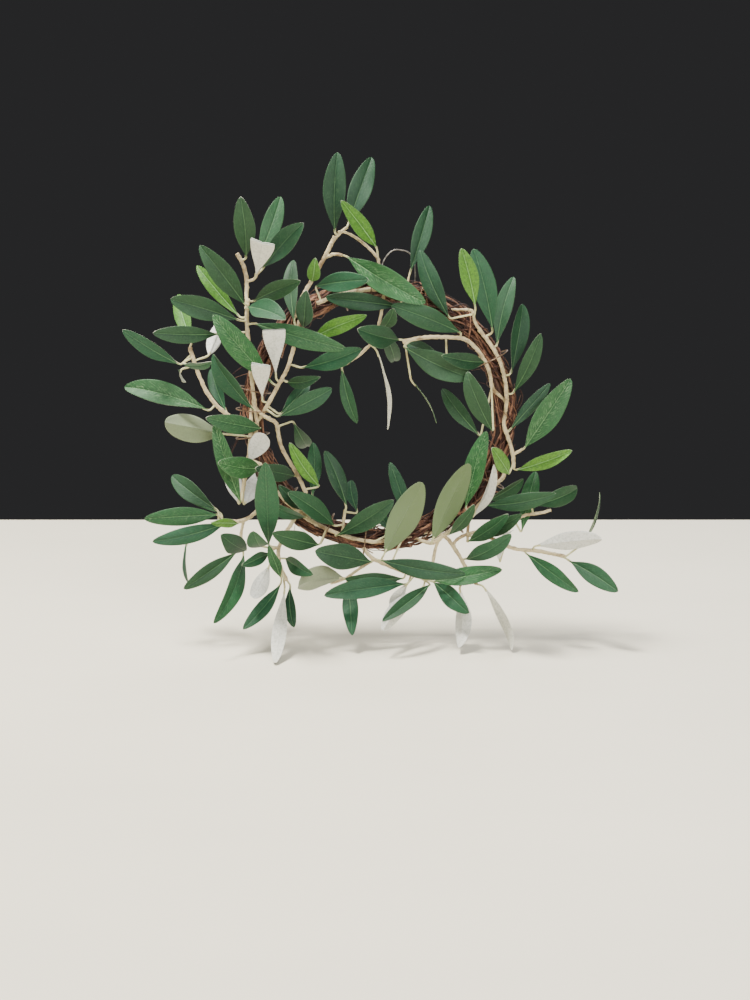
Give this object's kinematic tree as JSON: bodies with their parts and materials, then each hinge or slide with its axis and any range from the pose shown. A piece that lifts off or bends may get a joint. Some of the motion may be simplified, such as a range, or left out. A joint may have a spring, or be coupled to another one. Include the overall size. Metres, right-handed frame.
{
  "type": "olive leaf crown wreath",
  "caption": "Olive-leaf crown: a ring of twisted vine with fabric leaves on wired stems, some of them posable, and a wire loop to hang it by.",
  "frame": {"origin": "centre of the vine ring, on the middle plane of its bundle", "axes": "the ring stands upright in the XZ plane, +Z towards its hanging loop, -Y towards the front that the leaves face"},
  "size_m": [0.3241, 0.1001, 0.3232],
  "materials": {
    "leaf_fabric": "printed matt polyester, pale on the back",
    "stem_plastic": "cream and tan moulded, knobbly",
    "stalk_plastic": "cream moulded",
    "vine_inner": "dry vine, dark inside the bundle",
    "vine_bark": "dry reddish-brown bark",
    "vine_twig": "dry fine vine ends",
    "tie_wire": "brown coated binding wire",
    "loop_wire": "thin dull wire",
    "core_wire": "annealed wire, covered"
  },
  "bodies": {
    "ring": {"hanging_loop": "loop_wire", "leaves_bottom": "leaf_fabric", "leaves_bottom_left": "leaf_fabric", "leaves_bottom_right": "leaf_fabric", "leaves_inner_left": "leaf_fabric", "leaves_inner_low": "leaf_fabric", "leaves_inner_right": "leaf_fabric", "leaves_left_main": "leaf_fabric", "leaves_left_mid": "leaf_fabric", "leaves_low_front": "leaf_fabric", "leaves_right_low": "leaf_fabric", "leaves_right_upper": "leaf_fabric", "leaves_ring_top": "leaf_fabric", "stalks_bottom": "stalk_plastic", "stalks_left": "stalk_plastic", "stalks_right": "stalk_plastic", "stem_bottom": "stem_plastic", "stem_bottom_left": "stem_plastic", "stem_bottom_right": "stem_plastic", "stem_inner_left": "stem_plastic", "stem_inner_low": "stem_plastic", "stem_inner_right": "stem_plastic", "stem_left_main": "stem_plastic", "stem_left_mid": "stem_plastic", "stem_low_front": "stem_plastic", "stem_right_low": "stem_plastic", "stem_right_upper": "stem_plastic", "stem_ring_top": "stem_plastic", "vine_hoop": "vine_inner", "vine_strands": "vine_bark", "vine_tendrils": "vine_twig", "wire_fixed": "core_wire", "wire_ties": "tie_wire"},
    "crest_spray": {"leaves_crest": "leaf_fabric", "stalks_crest": "stalk_plastic", "stem_crest": "stem_plastic", "wire_crest": "core_wire"},
    "left_outer_spray": {"leaves_left_outer": "leaf_fabric", "stalks_left_outer": "stalk_plastic", "stem_left_outer": "stem_plastic", "wire_left_outer": "core_wire"},
    "low_left_spray": {"leaves_low_left": "leaf_fabric", "stalks_low_left": "stalk_plastic", "stem_low_left": "stem_plastic", "wire_low_left": "core_wire"},
    "top_spray": {"leaves_top": "leaf_fabric", "stalks_top": "stalk_plastic", "stem_top": "stem_plastic", "wire_top": "core_wire"},
    "right_side_spray": {"leaves_right_side": "leaf_fabric", "stalks_right_side": "stalk_plastic", "stem_right_side": "stem_plastic", "wire_right_side": "core_wire"},
    "right_outer_spray": {"leaves_right_outer": "leaf_fabric", "stalks_right_outer": "stalk_plastic", "stem_right_outer": "stem_plastic", "wire_right_outer": "core_wire"}
  },
  "joints": [
    {"name": "crest_bend", "type": "hinge", "parent": "ring", "child": "crest_spray", "pos_m": [-0.086, -0.007, 0.085], "axis": [-1, 0, 0], "range_deg": [0, 14]},
    {"name": "left_outer_bend", "type": "hinge", "parent": "ring", "child": "left_outer_spray", "pos_m": [-0.098, -0.0065, 0], "axis": [0, 0, -1], "range_deg": [0, 14]},
    {"name": "low_left_bend", "type": "hinge", "parent": "ring", "child": "low_left_spray", "pos_m": [-0.079, -0.012, -0.061], "axis": [-0.6, 0, 0.8], "range_deg": [0, 12]},
    {"name": "top_bend", "type": "hinge", "parent": "ring", "child": "top_spray", "pos_m": [-0.049, -0.012, 0.079], "axis": [-0.867, 0, -0.4983], "range_deg": [0, 14]},
    {"name": "right_side_bend", "type": "hinge", "parent": "ring", "child": "right_side_spray", "pos_m": [0.0845, -0.012, -0.009], "axis": [-0.3987, 0, 0.9171], "range_deg": [0, 12]},
    {"name": "right_outer_bend", "type": "hinge", "parent": "ring", "child": "right_outer_spray", "pos_m": [0.071, -0.012, -0.078], "axis": [-0.3011, 0, 0.9536], "range_deg": [0, 12]}
  ]
}
